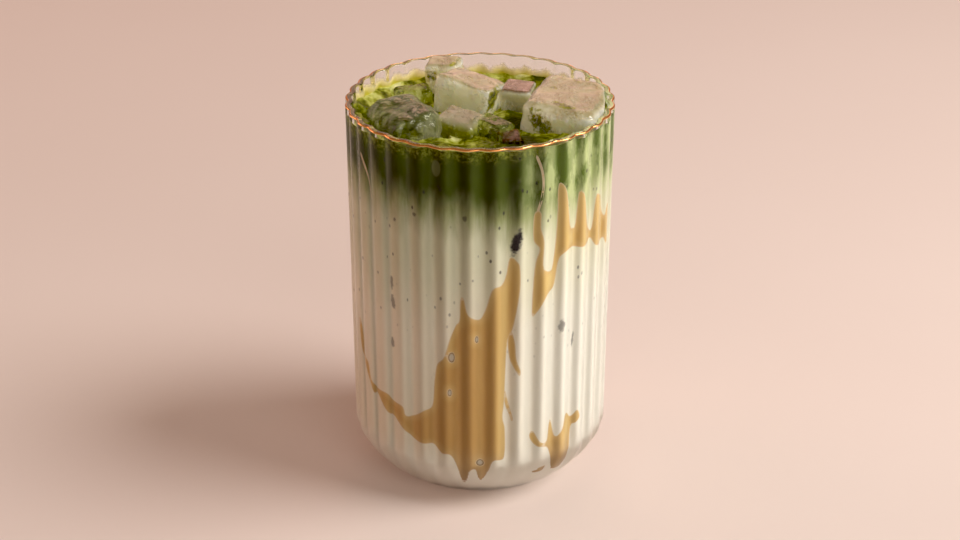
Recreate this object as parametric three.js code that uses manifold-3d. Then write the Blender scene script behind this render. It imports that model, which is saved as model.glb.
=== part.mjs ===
// Iced matcha latte in a ribbed glass tumbler with a thin gold lip: milk below, matcha above it,
// caramel syrup run down the inside of the glass, and ice standing in the froth. Millimetres, +Z up.
// The origin is the middle of the underside. Angles go round from the front (-Y) towards the right (+X).
import * as THREE from "three";
import Module from "manifold-3d";
import { RoundedBoxGeometry } from "three/addons/geometries/RoundedBoxGeometry.js";
import { mergeVertices } from "three/addons/utils/BufferGeometryUtils.js";

// The tumbler: a nearly straight wall of rounded ribs over a rounded foot
const LIP_RADIUS = 40;
const LIP_HEIGHT = 120;
const WALL_FOOT_RADIUS = 39.7; // where the straight wall meets the rounding
const ROUNDING_HEIGHT = 14.3;
const FOOT_RADIUS = 26.6; // the flat underside
const ROUNDING_POWER = 1.38; // 1 is a bevel, 2 a quarter ellipse
const WALL = 1.7;
const FLOOR = 5.5;
const RIBS = 33;
const RIB_DEPTH = 0.9;
const INNER_RIB_DEPTH = 0.75;
const SAMPLES_PER_RIB = 4;
const LIP_ROUND = 0.35;

// The gold on the lip
const GOLD_HEIGHT = 0.45;
const GOLD_WIDTH = 1.2;

// The drink
const GAP = 0.3; // between pieces that touch
const LAYER_HEIGHT = 99.9; // where matcha meets milk
const LAYER_TILT = 2.2;
const LAYER_TILT_ANGLE = -50; // degrees, the side where the matcha is thinnest
const FROTH_HEIGHT = 115.6; // at the glass
const FROTH_SLOPE = -0.065; // the froth stands higher at the front
const FROTH_LUMP = 0.5;
const FROTH_DISH = 4; // how much lower the middle lies
const DISH_RADIUS = 37.5;
const DISH_POWER = 5; // steep at the glass and nearly level inside
const SYRUP_THICKNESS = 2.2;
const POCKET_REACH = 0.7; // degrees that the pocket of a syrup patch runs past it
const ICE_REACH = 36.8; // the ice is rounded off at this radius, where it leans on the glass

// Ice: width, depth and height, centre, turn about Z, then tilts about X and Y in degrees, edge rounding
const ICE = {
  ice_right: { size: [25, 28, 19.5], at: [26.3, 1.4, 111.8], turn: [-22, 2, 4], round: 5 },
  ice_left: { size: [19, 28, 18], at: [-22.4, -5.2, 111], turn: [23, -4, -3], round: 6.5 },
  ice_centre: { size: [18.5, 14, 18.5], at: [-3.9, 14.2, 111.9], turn: [-27, -8, 9], round: 1.8 },
  ice_back: { size: [11.5, 9, 16], at: [-10.8, 29.4, 113.4], turn: [-14, 4, -4], round: 2.2 },
  ice_middle: { size: [10, 12, 13], at: [11.8, 15.4, 111.9], turn: [-12, 0, 0], round: 1.8 },
  ice_front: { size: [11.5, 7, 13], at: [3.3, -12.4, 111.6], turn: [-40, -4, 5], round: 1.2 },
  ice_front_middle: { size: [13.5, 12, 13], at: [-5.8, -6.8, 111], turn: [-28, 6, 6], round: 2 },
  ice_left_back: { size: [12.5, 9, 11], at: [-20.8, 20.4, 110.5], turn: [12, 0, 0], round: 2.5 },
  ice_front_right: { size: [6.6, 9, 10], at: [8.9, -17.3, 110.9], turn: [6, 0, 0], round: 1.6 },
};

// Syrup patches from left to right: angle in degrees, lower edge, upper edge
const SYRUP = {
  syrup_swirl: [
    [-70, 43, 52], [-64, 39, 44], [-58, 31.5, 36.5], [-48, 28, 34.6], [-37, 23.5, 31], [-22, 21.8, 36],
    [-19, 20, 50], [-10.6, 15.6, 63.7], [-7, 15.6, 73], [-3, 15.6, 66], [2, 15.6, 68.5], [5.5, 15.6, 76],
    [10.5, 18, 79], [12.5, 57, 84], [16, 66, 85], [18, 77, 81],
  ],
  syrup_ribbon: [
    [23.3, 66, 98], [26.8, 67.5, 98.5], [28.6, 69.6, 79.5], [33.2, 73, 79], [35.3, 78, 105], [37, 82.6, 106.4],
    [39.4, 84, 103.5], [42, 84.4, 91], [45.8, 84.2, 91], [47.6, 83.8, 101.5], [50.6, 83, 99.5], [53, 83, 89.5],
    [57.6, 84, 88], [59.6, 81.6, 96.5], [64, 80, 96.5], [69, 80.6, 88.5], [73.5, 78.4, 91], [78, 79, 91.5],
  ],
  syrup_drop: [
    [23, 21.5, 25.5], [30, 18.5, 22], [34, 15.6, 28], [37, 15.6, 22.5], [42, 15.6, 28.5], [46, 16.5, 27],
    [52, 22.5, 27.5],
  ],
};

const PER_RIB = 2; // sections of a layer of the drink at each rib
const FROTH_SHARES = [1, 0.94, 0.86, 0.72, 0.5, 0.25]; // rings of the froth, from the glass inwards

const COLOURS = {
  glass: { color: 0xf2f4f3, roughness: 0.03, metalness: 0, transparent: true, opacity: 0.3 },
  gold: { color: 0xd28a4a, roughness: 0.25, metalness: 1 },
  milk: { color: 0xe9dfc9, roughness: 0.4, metalness: 0 },
  matcha: { color: 0x6f8c2c, roughness: 0.7, metalness: 0 },
  syrup: { color: 0xb98440, roughness: 0.25, metalness: 0 },
  ice: { color: 0xc9c9b4, roughness: 0.1, metalness: 0, transparent: true, opacity: 0.6 },
};

const wasm = await Module();
wasm.setup();

const radians = THREE.MathUtils.degToRad;

// A closed geometry as a solid that can be cut and joined.
function solidFrom(geometry) {
  const bare = geometry.clone();
  bare.deleteAttribute("normal");
  bare.deleteAttribute("uv");
  const merged = mergeVertices(bare, 1e-4);
  return new wasm.Manifold(
    new wasm.Mesh({
      numProp: 3,
      vertProperties: merged.attributes.position.array,
      triVerts: new Uint32Array(merged.index.array),
    }),
  );
}

function geometryFrom(solid) {
  const mesh = solid.getMesh();
  const geometry = new THREE.BufferGeometry();
  geometry.setAttribute("position", new THREE.BufferAttribute(mesh.vertProperties, 3));
  geometry.setIndex(new THREE.BufferAttribute(mesh.triVerts, 1));
  return geometry;
}

const group = new THREE.Group();

function addPiece(name, geometry, finish) {
  geometry.computeVertexNormals();
  const mesh = new THREE.Mesh(geometry, new THREE.MeshStandardMaterial(COLOURS[finish]));
  mesh.name = name;
  group.add(mesh);
}

// How far the surface lies inside the rib crests at an angle: 0 on a crest, 1 in the groove between two.
function grooveAt(angle) {
  return 1 - Math.abs(Math.sin((RIBS * angle) / 2));
}

// Outer radius over the crests at a height.
function crestRadius(z) {
  if (z >= ROUNDING_HEIGHT) {
    const up = (z - ROUNDING_HEIGHT) / (LIP_HEIGHT - ROUNDING_HEIGHT);
    return WALL_FOOT_RADIUS + (LIP_RADIUS - WALL_FOOT_RADIUS) * up;
  }
  const down = (ROUNDING_HEIGHT - z) / ROUNDING_HEIGHT;
  const across = (1 - down ** ROUNDING_POWER) ** (1 / ROUNDING_POWER);
  return FOOT_RADIUS + (WALL_FOOT_RADIUS - FOOT_RADIUS) * across;
}

// The inside of the glass follows the outside, moved in by the wall and up by the floor.
function innerCrestRadius(z) {
  const squeeze = (z - FLOOR) / (ROUNDING_HEIGHT + WALL - FLOOR);
  if (squeeze >= 1) return crestRadius(z) - WALL;
  return crestRadius(ROUNDING_HEIGHT * Math.max(squeeze, 0)) - WALL;
}

// The ribs fade out over the rounding.
function ribFade(z, floor) {
  return THREE.MathUtils.clamp((z - floor) / ROUNDING_HEIGHT, 0, 1);
}

function outerRing(z, inset = 0) {
  const depth = RIB_DEPTH * ribFade(z, 0);
  return (angle) => ({ r: crestRadius(z) - inset - depth * grooveAt(angle), z });
}

function innerRing(z, inset = 0) {
  const depth = INNER_RIB_DEPTH * ribFade(z, FLOOR);
  return (angle) => ({ r: innerCrestRadius(z) - inset - depth * grooveAt(angle), z });
}

function ringAngles(perRib) {
  const count = RIBS * perRib;
  return Array.from({ length: count }, (_, i) => (i / count) * 2 * Math.PI);
}

function pushRings(rings, angles, points) {
  for (const ring of rings)
    for (const angle of angles) {
      const { r, z } = ring(angle);
      points.push(r * Math.sin(angle), -r * Math.cos(angle), z);
    }
}

function bridgeRings(from, to, count, faces) {
  for (let i = 0; i < count; i++) {
    const next = (i + 1) % count;
    faces.push(from + i, from + next, to + next, from + i, to + next, to + i);
  }
}

function meshOf(points, faces) {
  const geometry = new THREE.BufferGeometry();
  geometry.setAttribute("position", new THREE.Float32BufferAttribute(points, 3));
  geometry.setIndex(faces);
  return geometry;
}

// A solid of stacked rings, closed on the axis at both ends.
function stackedSolid(rings, startZ, endZ, perRib) {
  const angles = ringAngles(perRib);
  const count = angles.length;
  const points = [];
  const faces = [];
  pushRings(rings, angles, points);
  for (let k = 0; k + 1 < rings.length; k++) bridgeRings(k * count, (k + 1) * count, count, faces);
  const start = points.length / 3;
  points.push(0, 0, startZ, 0, 0, endZ);
  const last = (rings.length - 1) * count;
  for (let i = 0; i < count; i++) {
    const next = (i + 1) % count;
    faces.push(start, next, i, start + 1, last + i, last + next);
  }
  return meshOf(points, faces);
}

// A ring-shaped solid whose section is a closed loop of rings.
function loopSolid(rings, perRib) {
  const angles = ringAngles(perRib);
  const points = [];
  const faces = [];
  pushRings(rings, angles, points);
  rings.forEach((_, k) =>
    bridgeRings(k * angles.length, ((k + 1) % rings.length) * angles.length, angles.length, faces),
  );
  return meshOf(points, faces);
}

// Glass
const glassTop = LIP_HEIGHT - GOLD_HEIGHT - GAP;
const outerHeights = [0, 0.8, 3, 7, ROUNDING_HEIGHT, glassTop - LIP_ROUND];
const floorHeights = [FLOOR, 7.5, 11, ROUNDING_HEIGHT + WALL]; // from the flat floor up its rounding
const glassRings = [
  ...outerHeights.map((z) => outerRing(z)),
  (angle) => ({ ...outerRing(glassTop, LIP_ROUND)(angle), z: glassTop }),
  (angle) => ({ ...innerRing(glassTop, -LIP_ROUND)(angle), z: glassTop }),
  innerRing(glassTop - LIP_ROUND),
  ...floorHeights.toReversed().map((z) => innerRing(z)),
];
addPiece("glass", stackedSolid(glassRings, 0, FLOOR, SAMPLES_PER_RIB), "glass");

// Gold, a cap on the outer half of the lip
const goldFoot = LIP_HEIGHT - GOLD_HEIGHT;
const goldRings = [
  outerRing(goldFoot),
  outerRing(LIP_HEIGHT),
  outerRing(LIP_HEIGHT, GOLD_WIDTH),
  outerRing(goldFoot, GOLD_WIDTH),
];
addPiece("gold_rim", loopSolid(goldRings, SAMPLES_PER_RIB), "gold");

// Ice: a rounded block, a little narrower below, as it comes from a tray
function iceBlock({ size, at, turn, round }, grow) {
  const [width, depth, height] = size.map((s) => s + 2 * grow);
  const block = new RoundedBoxGeometry(width, depth, height, 1, round + grow);
  const position = block.getAttribute("position");
  for (let i = 0; i < position.count; i++) {
    const narrow = 0.96 + (0.08 * position.getZ(i)) / height;
    position.setXYZ(i, position.getX(i) * narrow, position.getY(i) * narrow, position.getZ(i));
  }
  const [turnZ, tiltX, tiltY] = turn.map(radians);
  const place = new THREE.Matrix4()
    .makeRotationZ(turnZ)
    .multiply(new THREE.Matrix4().makeRotationX(tiltX))
    .multiply(new THREE.Matrix4().makeRotationY(tiltY))
    .setPosition(...at);
  return solidFrom(block.applyMatrix4(place));
}

function postInside(radius) {
  const post = new THREE.CylinderGeometry(radius, radius, 3 * LIP_HEIGHT, 72);
  return solidFrom(post.rotateX(Math.PI / 2));
}

let pockets = null; // all the ice so far, with the gap round it
for (const [name, spec] of Object.entries(ICE)) {
  let block = iceBlock(spec, 0).intersect(postInside(ICE_REACH));
  if (pockets) block = block.subtract(pockets);
  const pocket = iceBlock(spec, GAP).intersect(postInside(ICE_REACH + GAP));
  pockets = pockets ? pockets.add(pocket) : pocket;
  addPiece(name, geometryFrom(block), "ice");
}

// The layers of the drink
function layerHeight(angle, share) {
  return LAYER_HEIGHT + share * LAYER_TILT * Math.cos(angle - radians(LAYER_TILT_ANGLE));
}

function frothHeight(x, y) {
  const dish = FROTH_DISH * (1 - (Math.hypot(x, y) / DISH_RADIUS) ** DISH_POWER);
  const lump = FROTH_LUMP * Math.sin(0.42 * x + 1) * Math.cos(0.37 * y);
  return FROTH_HEIGHT + FROTH_SLOPE * y + lump - dish;
}

function drinkRadius(angle, z) {
  return innerRing(z, GAP)(angle).r;
}

// One ring of the froth, at a share of the way from the middle to the glass.
function frothRing(share) {
  return (angle) => {
    const r = share * drinkRadius(angle, FROTH_HEIGHT);
    return { r, z: frothHeight(r * Math.sin(angle), -r * Math.cos(angle)) };
  };
}

function layerRing(lift) {
  return (angle) => {
    const z = layerHeight(angle, 1) + lift;
    return { r: drinkRadius(angle, z), z };
  };
}

// Syrup
function edgesAt(stations, angle) {
  const k = stations.findIndex(([at]) => at >= angle);
  if (k < 0) return null;
  const [toAngle, toLow, toHigh] = stations[k];
  if (k === 0) return toAngle === angle ? [toLow, toHigh] : null;
  const [fromAngle, fromLow, fromHigh] = stations[k - 1];
  const share = (angle - fromAngle) / (toAngle - fromAngle);
  return [fromLow + (toLow - fromLow) * share, fromHigh + (toHigh - fromHigh) * share];
}

// A patch of syrup as a slab against the glass, with a section at every quarter rib. Its pocket in the
// drink is the same slab with the gap all round, and so wide that a steep edge stays clear too.
function syrupSlab(stations, grow) {
  const step = 360 / (RIBS * SAMPLES_PER_RIB);
  const points = [];
  const faces = [];
  const first = Math.ceil(stations[0][0] / step);
  const last = Math.floor(stations.at(-1)[0] / step);
  const reach = grow ? POCKET_REACH : 0;
  for (let k = first; k <= last; k++) {
    const looked = [k * step - reach, k * step, k * step + reach];
    const near = looked.map((at) => edgesAt(stations, at)).filter(Boolean);
    const low = Math.min(...near.map((edges) => edges[0])) - grow;
    const high = Math.max(...near.map((edges) => edges[1])) + grow;
    const spread = k === first ? -reach : k === last ? reach : 0;
    const angle = radians(k * step + spread);
    for (const [z, inset] of [
      [low, -grow],
      [high, -grow],
      [high, SYRUP_THICKNESS + grow],
      [low, SYRUP_THICKNESS + grow],
    ]) {
      const r = drinkRadius(angle, z) - inset;
      points.push(r * Math.sin(angle), -r * Math.cos(angle), z);
    }
  }
  const sections = last - first;
  for (let k = 0; k < sections; k++)
    for (let i = 0; i < 4; i++) {
      const a = 4 * k + i;
      const b = 4 * k + ((i + 1) % 4);
      faces.push(a, a + 4, b + 4, a, b + 4, b);
    }
  const end = 4 * sections;
  faces.push(0, 1, 2, 0, 2, 3, end, end + 2, end + 1, end, end + 3, end + 2);
  return solidFrom(meshOf(points, faces));
}

// Milk, from the floor of the glass up to the matcha, cut round the syrup
const liftedRing = (z) => (angle) => ({ r: innerRing(z, GAP)(angle).r, z: z + GAP });
const milkRings = [...floorHeights.map(liftedRing), layerRing(-GAP)];
let milk = solidFrom(stackedSolid(milkRings, FLOOR + GAP, LAYER_HEIGHT - GAP, PER_RIB));
for (const stations of Object.values(SYRUP)) milk = milk.subtract(syrupSlab(stations, GAP));
addPiece("milk", geometryFrom(milk), "milk");

// Matcha, from the milk up to the froth, cut round the ice and the syrup
const matchaRings = [layerRing(0), ...FROTH_SHARES.map(frothRing)];
let matcha = solidFrom(stackedSolid(matchaRings, LAYER_HEIGHT, frothHeight(0, 0), PER_RIB)).subtract(pockets);
for (const stations of Object.values(SYRUP)) matcha = matcha.subtract(syrupSlab(stations, GAP));
addPiece("matcha", geometryFrom(matcha), "matcha");

for (const [name, stations] of Object.entries(SYRUP))
  addPiece(name, geometryFrom(syrupSlab(stations, 0)), "syrup");

export default group;
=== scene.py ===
# Iced matcha latte in a ribbed glass with a gold lip. Sizes here are in millimetres. Angles go round
# the glass from the front (-Y) towards the right (+X). They are given in degrees and worked with in
# radians.
import math

import bmesh
import bpy
import numpy as np
from mathutils import Matrix, Vector, geometry, noise


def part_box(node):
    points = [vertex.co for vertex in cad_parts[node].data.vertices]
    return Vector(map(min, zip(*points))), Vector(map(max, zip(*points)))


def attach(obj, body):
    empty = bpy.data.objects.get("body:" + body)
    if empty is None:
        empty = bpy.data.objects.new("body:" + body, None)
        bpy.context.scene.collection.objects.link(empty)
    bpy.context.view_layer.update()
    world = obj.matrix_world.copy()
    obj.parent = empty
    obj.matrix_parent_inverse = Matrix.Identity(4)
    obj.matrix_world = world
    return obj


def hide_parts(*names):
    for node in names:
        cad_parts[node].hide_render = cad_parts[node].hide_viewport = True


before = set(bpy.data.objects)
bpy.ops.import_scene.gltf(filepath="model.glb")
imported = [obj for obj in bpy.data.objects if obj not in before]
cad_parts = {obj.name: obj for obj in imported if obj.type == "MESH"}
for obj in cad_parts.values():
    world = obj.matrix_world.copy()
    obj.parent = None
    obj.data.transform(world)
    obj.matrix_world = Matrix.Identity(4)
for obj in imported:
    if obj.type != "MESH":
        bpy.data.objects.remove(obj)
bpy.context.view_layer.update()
scene = bpy.context.scene
MM = 0.001

# Camera
# It looks down on the drink from the front, along +Y, at the photo's angle.
CAMERA_PLACE = (0, -517, 320.2)
CAMERA_PITCH = 26.443
CAMERA_LENS = 69.94

camera = bpy.data.objects.new("camera", bpy.data.cameras.new("camera"))
camera.data.lens = CAMERA_LENS
camera.data.sensor_width = 36
camera.data.clip_start = 0.05
camera.data.clip_end = 20
camera.location = Vector(CAMERA_PLACE) * MM
camera.rotation_euler = (math.radians(90 - CAMERA_PITCH), 0, 0)
scene.collection.objects.link(camera)
scene.camera = camera

# Light and picture settings
# One large soft key light high at the right, a soft second one at the front, weaker warm ones at the
# left and at the back, and a pale, warm surround.
LIGHTS = {  # azimuth, elevation, distance, width, watts and colour
    "key": (82, 48, 1100, 620, 10, (1, 0.975, 0.95)),
    "second": (25, 30, 1100, 700, 1.9, (1, 0.97, 0.94)),
    "side": (-112, 16, 1100, 620, 2.4, (1, 0.66, 0.56)),
    "back": (180, 26, 1500, 1000, 3, (1, 0.52, 0.42)),
}
LIGHTS_AIM = (0, 0, 60)
SURROUND = (1.0, 0.83, 0.70)
SURROUND_STRENGTH = 0.25
DARKEST = 0.015  # what is darker than this is shown black


def soft_light(name, azimuth, elevation, distance, width, watts, colour):
    lamp = bpy.data.lights.new(name, "AREA")
    lamp.shape = "DISK"
    lamp.size = width * MM
    lamp.energy = watts
    lamp.color = colour
    made = bpy.data.objects.new(name, lamp)
    turn = math.radians(azimuth)
    lift = math.radians(elevation)
    away = Vector((math.sin(turn) * math.cos(lift), -math.cos(turn) * math.cos(lift), math.sin(lift)))
    made.location = (Vector(LIGHTS_AIM) + away * distance) * MM
    made.rotation_euler = away.to_track_quat("Z", "Y").to_euler()
    made.visible_camera = False
    scene.collection.objects.link(made)


for light_name, light_values in LIGHTS.items():
    soft_light(light_name, *light_values)

world = bpy.data.worlds.new("surround")
world.use_nodes = True
world.node_tree.nodes["Background"].inputs["Color"].default_value = (*SURROUND, 1)
world.node_tree.nodes["Background"].inputs["Strength"].default_value = SURROUND_STRENGTH
scene.world = world
scene.view_settings.view_transform = "Standard"
scene.view_settings.use_curve_mapping = True
scene.view_settings.curve_mapping.black_level = (DARKEST, DARKEST, DARKEST)
scene.view_settings.curve_mapping.update()
scene.cycles.use_denoising = True
scene.cycles.max_bounces = 24
scene.cycles.transmission_bounces = 20
scene.cycles.glossy_bounces = 8
scene.cycles.transparent_max_bounces = 32
scene.cycles.sample_clamp_indirect = 4

# Floor
# A plain pale sheet that the glass stands on, painted matt. It isn't part of the drink.
FLOOR_SIZE = 9000
SHARP_FROM = 50  # degrees between faces


class Value:
    """A socket in a material. Sums and products of values add their Math nodes."""

    def __init__(self, finish, socket):
        self.finish = finish
        self.socket = socket

    def maths(self, operation, *others):
        inputs = dict(enumerate((self, *others)))
        return self.finish.node("ShaderNodeMath", {"operation": operation}, inputs)

    def __add__(self, other):
        return self.maths("ADD", other)

    def __radd__(self, other):
        return self.maths("ADD", other)

    def __sub__(self, other):
        return self.maths("SUBTRACT", other)

    def __rsub__(self, other):
        return (self * -1) + other

    def __mul__(self, other):
        return self.maths("MULTIPLY", other)

    def __rmul__(self, other):
        return self.maths("MULTIPLY", other)

    def __truediv__(self, other):
        return self.maths("DIVIDE", other)

    def largest(self, other):
        return self.maths("MAXIMUM", other)


class Finish:
    """A material and the nodes that make it."""

    def __init__(self, name):
        self.material = bpy.data.materials.new(name)
        self.material.use_nodes = True
        self.tree = self.material.node_tree
        self.tree.nodes.clear()

    def node(self, kind, settings=None, inputs=None, output=0):
        made = self.tree.nodes.new(kind)
        for name, value in (settings or {}).items():
            if name == "stops":
                while len(made.color_ramp.elements) < len(value):
                    made.color_ramp.elements.new(0.5)
                for element, (at, colour) in zip(made.color_ramp.elements, value):
                    element.position = at
                    element.color = (*colour, 1)
            else:
                setattr(made, name, value)
        for key, value in (inputs or {}).items():
            if isinstance(value, Value):
                self.tree.links.new(value.socket, made.inputs[key])
            elif isinstance(value, tuple) and len(value) == 3 and len(made.inputs[key].default_value) == 4:
                made.inputs[key].default_value = (*value, 1)
            else:
                made.inputs[key].default_value = value
        return Value(self, made.outputs[output]) if made.outputs else None

    def place(self):
        """Where a point is, in millimetres."""
        here = self.node("ShaderNodeTexCoord", output="Object")
        return self.node("ShaderNodeVectorMath", {"operation": "SCALE"}, {0: here, "Scale": 1 / MM})

    def parts(self, vector):
        return [self.node("ShaderNodeSeparateXYZ", None, {0: vector}, output=k) for k in range(3)]

    def stretched(self, vector, factors):
        return self.node("ShaderNodeVectorMath", {"operation": "MULTIPLY"}, {0: vector, 1: factors})

    def cloud(self, vector, size, detail=2, roughness=0.5, distortion=0):
        """Smooth noise from 0 to 1 with bumps of a size."""
        inputs = {
            "Vector": vector,
            "Scale": 1 / size,
            "Detail": detail,
            "Roughness": roughness,
            "Distortion": distortion,
        }
        return self.node("ShaderNodeTexNoise", None, inputs)

    def between(self, value, low, high):
        """0 below low, 1 above high and smooth between them."""
        settings = {"interpolation_type": "SMOOTHSTEP"}
        return self.node("ShaderNodeMapRange", settings, {"Value": value, "From Min": low, "From Max": high})

    def near(self, vector, spot, radius):
        """1 at a spot, falling smoothly to 0 at a radius from it."""
        away = self.node("ShaderNodeVectorMath", {"operation": "DISTANCE"}, {0: vector, 1: spot}, output=1)
        return self.between(away, radius, 0)

    def spots(self, vector, places):
        """The sum of near at every place, each a spot and a radius."""
        total = 0
        for spot, radius in places:
            total = self.near(vector, spot, radius) + total
        return total

    def mix(self, factor, first, second):
        inputs = {0: factor, 6: first, 7: second}
        return self.node("ShaderNodeMix", {"data_type": "RGBA"}, inputs, output=2)

    def bump(self, height, distance, strength=1.0):
        inputs = {"Height": height, "Distance": distance * MM, "Strength": strength}
        return self.node("ShaderNodeBump", None, inputs)

    def principled(self, **inputs):
        named = {name.replace("_", " "): value for name, value in inputs.items()}
        return self.node("ShaderNodeBsdfPrincipled", None, named)

    def surface(self, shader):
        self.node("ShaderNodeOutputMaterial", None, {"Surface": shader})
        return self.material

    def clear_surface(self, shader, shadow_tint):
        """A clear material that lets light through to what it holds."""
        light_path = self.node("ShaderNodeLightPath", output="Is Shadow Ray")
        passing = self.node("ShaderNodeBsdfTransparent", None, {"Color": shadow_tint})
        mixed = self.node("ShaderNodeMixShader", None, {0: light_path, 1: shader, 2: passing})
        return self.surface(mixed)


def new_piece(name, points, faces, material):
    """An object of the given points in millimetres."""
    mesh = bpy.data.meshes.new(name)
    mesh.from_pydata([Vector(p) * MM for p in points], [], faces)
    mesh.validate()
    mesh.polygons.foreach_set("use_smooth", [True] * len(mesh.polygons))
    mesh.set_sharp_from_angle(angle=math.radians(SHARP_FROM))
    mesh.materials.append(material)
    made = bpy.data.objects.new(name, mesh)
    scene.collection.objects.link(made)
    return made


paint = Finish("pale floor paint")
floor_tone = paint.mix(paint.cloud(paint.place(), 160, 3), (0.80, 0.665, 0.60), (0.83, 0.70, 0.635))
floor_paint = paint.surface(paint.principled(Base_Color=floor_tone, Roughness=0.85))
floor_corners = [(x * FLOOR_SIZE / 2, y * FLOOR_SIZE / 2, 0) for x, y in [(-1, -1), (1, -1), (1, 1), (-1, 1)]]
floor = new_piece("floor", floor_corners, [(0, 1, 2, 3)], floor_paint)

# Glass
# The tumbler is pressed clear glass: a nearly straight wall of 33 upright rounded ribs, inside and
# outside, over a foot that is rounded in. The lip is fire polished, so its edges are soft.
LIP_RADIUS = 40
LIP_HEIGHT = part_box("gold_rim")[1].z / MM
WALL_FOOT_RADIUS = 39.7
ROUNDING_HEIGHT = 14.3
FOOT_RADIUS = 26.6
ROUNDING_POWER = 1.38
WALL = 1.7
FLOOR = 5.5
RIBS = 33
RIB_DEPTH = 0.9
INNER_RIB_DEPTH = 0.75
GROOVE_ROUNDING = 0.16
SAMPLES_PER_RIB = 12
GLASS_TOP = LIP_HEIGHT - 0.06  # the gold lies on it
LIP_ROUND = 0.45
LIP_FULLNESS = 0.7  # a half round has 1


def groove_at(angle):
    """How deep a groove is at an angle in radians: 0 on a crest, 1 between two ribs."""
    ridge = math.hypot(math.sin(RIBS * angle / 2), GROOVE_ROUNDING)
    return 1 - ridge / math.hypot(1, GROOVE_ROUNDING)


def crest_radius(z):
    if z >= ROUNDING_HEIGHT:
        up = (z - ROUNDING_HEIGHT) / (LIP_HEIGHT - ROUNDING_HEIGHT)
        return WALL_FOOT_RADIUS + (LIP_RADIUS - WALL_FOOT_RADIUS) * up
    down = (ROUNDING_HEIGHT - z) / ROUNDING_HEIGHT
    across = (1 - down**ROUNDING_POWER) ** (1 / ROUNDING_POWER)
    return FOOT_RADIUS + (WALL_FOOT_RADIUS - FOOT_RADIUS) * across


def inner_crest_radius(z):
    squeeze = (z - FLOOR) / (ROUNDING_HEIGHT + WALL - FLOOR)
    if squeeze >= 1:
        return crest_radius(z) - WALL
    return crest_radius(ROUNDING_HEIGHT * max(squeeze, 0)) - WALL


def rib_fade(z, floor_height):
    return min(max((z - floor_height) / ROUNDING_HEIGHT, 0), 1)


def outer_radius(angle, z):
    return crest_radius(z) - RIB_DEPTH * rib_fade(z, 0) * groove_at(angle)


def inner_radius(angle, z):
    softly = math.cos(RIBS * angle / 2) ** 2
    return inner_crest_radius(z) - INNER_RIB_DEPTH * rib_fade(z, FLOOR) * softly


def on_wheel(radius, angle, z):
    return (radius * math.sin(angle), -radius * math.cos(angle), z)


def turned_skin(rows, columns, start=None, end=None):
    """Points and faces of stacked rows, each a function from angle to radius and height. A start or an
    end height closes the skin on the axis."""
    angles = [2 * math.pi * i / columns for i in range(columns)]
    points = []
    for row in rows:
        for angle in angles:
            radius, z = row(angle)
            points.append(on_wheel(radius, angle, z))
    faces = []
    for k in range(len(rows) - 1):
        for i in range(columns):
            a, b = k * columns + i, k * columns + (i + 1) % columns
            faces.append((a, b, b + columns, a + columns))
    if start is not None:
        points.append((0, 0, start))
        faces += [(len(points) - 1, (i + 1) % columns, i) for i in range(columns)]
    if end is not None:
        last = (len(rows) - 1) * columns
        points.append((0, 0, end))
        faces += [(len(points) - 1, last + i, last + (i + 1) % columns) for i in range(columns)]
    return points, faces


def evenly(low, high, steps):
    return [low + (high - low) * k / steps for k in range(steps + 1)]


def eased(low, high, steps):
    """Values from low to high, closest together at low."""
    return [low + (high - low) * (1 - math.cos(math.pi / 2 * k / steps)) for k in range(steps + 1)]


def outer_row(z, share=1.0):
    return lambda angle: (outer_radius(angle, z) * share, z)


def inner_row(z, share=1.0):
    return lambda angle: (inner_radius(angle, z) * share, z)


def lip_row(turn):
    """A row of the rounded lip: turn 0 is at the outer wall and 180 at the inner wall."""
    side = math.cos(math.radians(turn))
    lift = math.sin(math.radians(turn))

    def row(angle):
        outer = outer_radius(angle, LIP_HEIGHT)
        inner = inner_radius(angle, LIP_HEIGHT)
        middle = (outer + inner) / 2
        across = (outer - inner) / 2 * math.copysign(abs(side) ** LIP_FULLNESS, side)
        return (middle + across, GLASS_TOP - LIP_ROUND * (1 - lift**LIP_FULLNESS))

    return row


rounding_rows = eased(0, ROUNDING_HEIGHT, 14)
wall_rows = evenly(ROUNDING_HEIGHT, GLASS_TOP - LIP_ROUND, 16)[1:-1]
inner_rounding = eased(FLOOR, ROUNDING_HEIGHT + WALL, 12)
inner_wall_rows = [z for z in wall_rows if z > ROUNDING_HEIGHT + WALL + 1]
glass_rows = [outer_row(0, share) for share in (0.3, 0.6, 0.9)]
glass_rows += [outer_row(z) for z in rounding_rows + wall_rows]
glass_rows += [lip_row(turn) for turn in range(0, 181, 20)]
glass_rows += [inner_row(z) for z in reversed(inner_rounding + inner_wall_rows)]
glass_rows += [inner_row(FLOOR, share) for share in (0.8, 0.5, 0.2)]

clear_glass = Finish("clear pressed glass")
wave = clear_glass.cloud(clear_glass.stretched(clear_glass.place(), (1, 1, 0.35)), 9, 2)
glass_shader = clear_glass.principled(
    Base_Color=(0.97, 0.985, 0.975),
    Roughness=0.012,
    IOR=1.48,
    Transmission_Weight=1.0,
    Specular_Tint=(0.7, 0.7, 0.7),
    Normal=clear_glass.bump(wave, 0.12),
)
glass_material = clear_glass.clear_surface(glass_shader, (0.96, 0.965, 0.955))
glass_points, glass_faces = turned_skin(glass_rows, RIBS * SAMPLES_PER_RIB, 0, FLOOR)
tumbler = new_piece("tumbler", glass_points, glass_faces, glass_material)
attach(tumbler, "root")
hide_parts("glass")

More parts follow.
